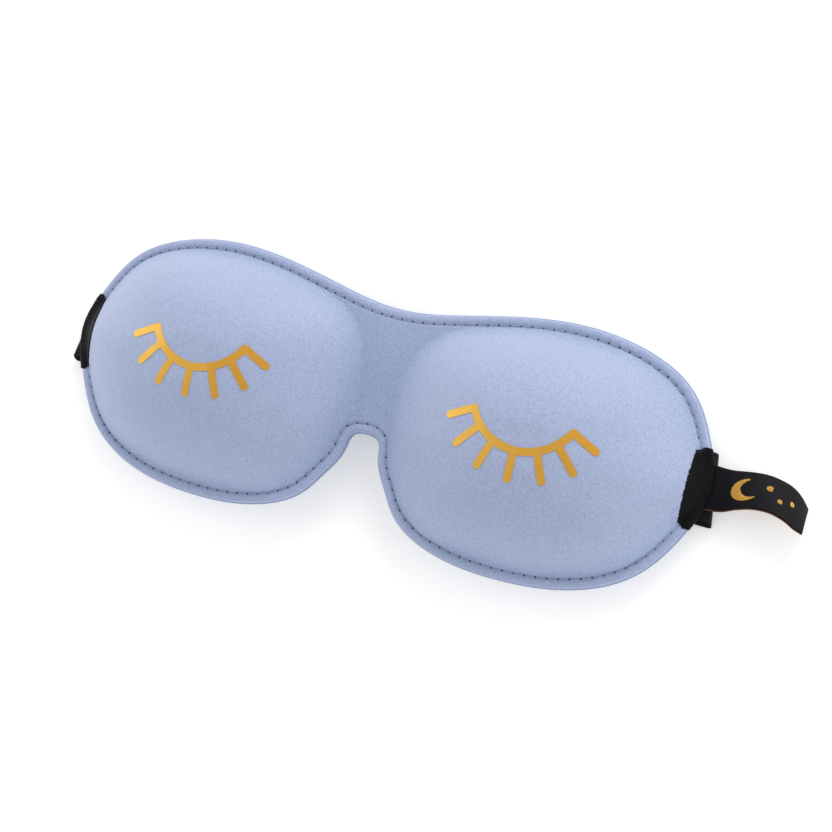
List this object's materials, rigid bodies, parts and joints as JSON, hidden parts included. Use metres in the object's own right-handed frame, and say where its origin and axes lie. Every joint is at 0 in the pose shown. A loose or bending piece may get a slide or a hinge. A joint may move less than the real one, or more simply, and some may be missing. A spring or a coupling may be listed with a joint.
{
  "type": "contoured sleep mask",
  "caption": "Contoured sleep mask with two domed eye cups, nose notch, printed lashes, end bar tacks, a woven tab and an elastic strap with ring and slider folded behind.",
  "frame": {"origin": "on the surface the mask lies on, under the middle of the nose bridge", "axes": "+Z out of the front of the cups, +Y towards the forehead edge, +X towards the end with the woven tab"},
  "size_m": [0.2713, 0.0886, 0.0386],
  "materials": {
    "cover_cloth": "satin knit",
    "foam": "pressed foam",
    "lining_cloth": "brushed knit",
    "gold_print": "matt print",
    "blue_thread": "spun thread",
    "black_thread": "satin stitch",
    "strap_elastic": "ribbed elastic",
    "black_plastic": "moulded",
    "tab_weave": "satin weave",
    "gold_thread": "woven thread"
  },
  "bodies": {
    "right_half": {"front_cover_right": "cover_cloth", "foam_shell_right": "foam", "back_lining_right": "lining_cloth", "lash_print_right": "gold_print", "edge_stitching_right": "blue_thread", "bar_tack_right": "black_thread", "strap_right": "strap_elastic", "strap_ring": "black_plastic", "strap_ring_turn": "strap_elastic", "strap_weave": "strap_elastic", "strap_middle": "strap_elastic", "strap_return": "strap_elastic", "ring_loop_stitching": "black_thread", "tab_root": "tab_weave"},
    "left_half": {"front_cover_left": "cover_cloth", "foam_shell_left": "foam", "back_lining_left": "lining_cloth", "lash_print_left": "gold_print", "edge_stitching_left": "blue_thread", "bar_tack_left": "black_thread", "strap_left": "strap_elastic"},
    "tab": {"woven_tab": "tab_weave", "tab_motif": "gold_thread"},
    "slider": {"slider": "black_plastic", "strap_slider_loop": "strap_elastic"}
  },
  "joints": [
    {"name": "bridge_fold", "type": "hinge", "parent": "right_half", "child": "left_half", "pos_m": [0, 0, 0.01219], "axis": [0, -1, 0], "range_deg": [0, 110], "stiffness_Nm_per_rad": 0.12, "deforming": ["strap_middle"]},
    {"name": "tab_flex", "type": "hinge", "parent": "right_half", "child": "tab", "pos_m": [0.121, 0, 0.0048], "axis": [0, -1, 0], "range_deg": [-60, 110], "stiffness_Nm_per_rad": 0.002},
    {"name": "slider_travel", "type": "slide", "parent": "right_half", "child": "slider", "axis": [1, 0, 0], "range_m": [-0.01, 0.01], "deforming": ["strap_weave", "strap_return"]}
  ]
}
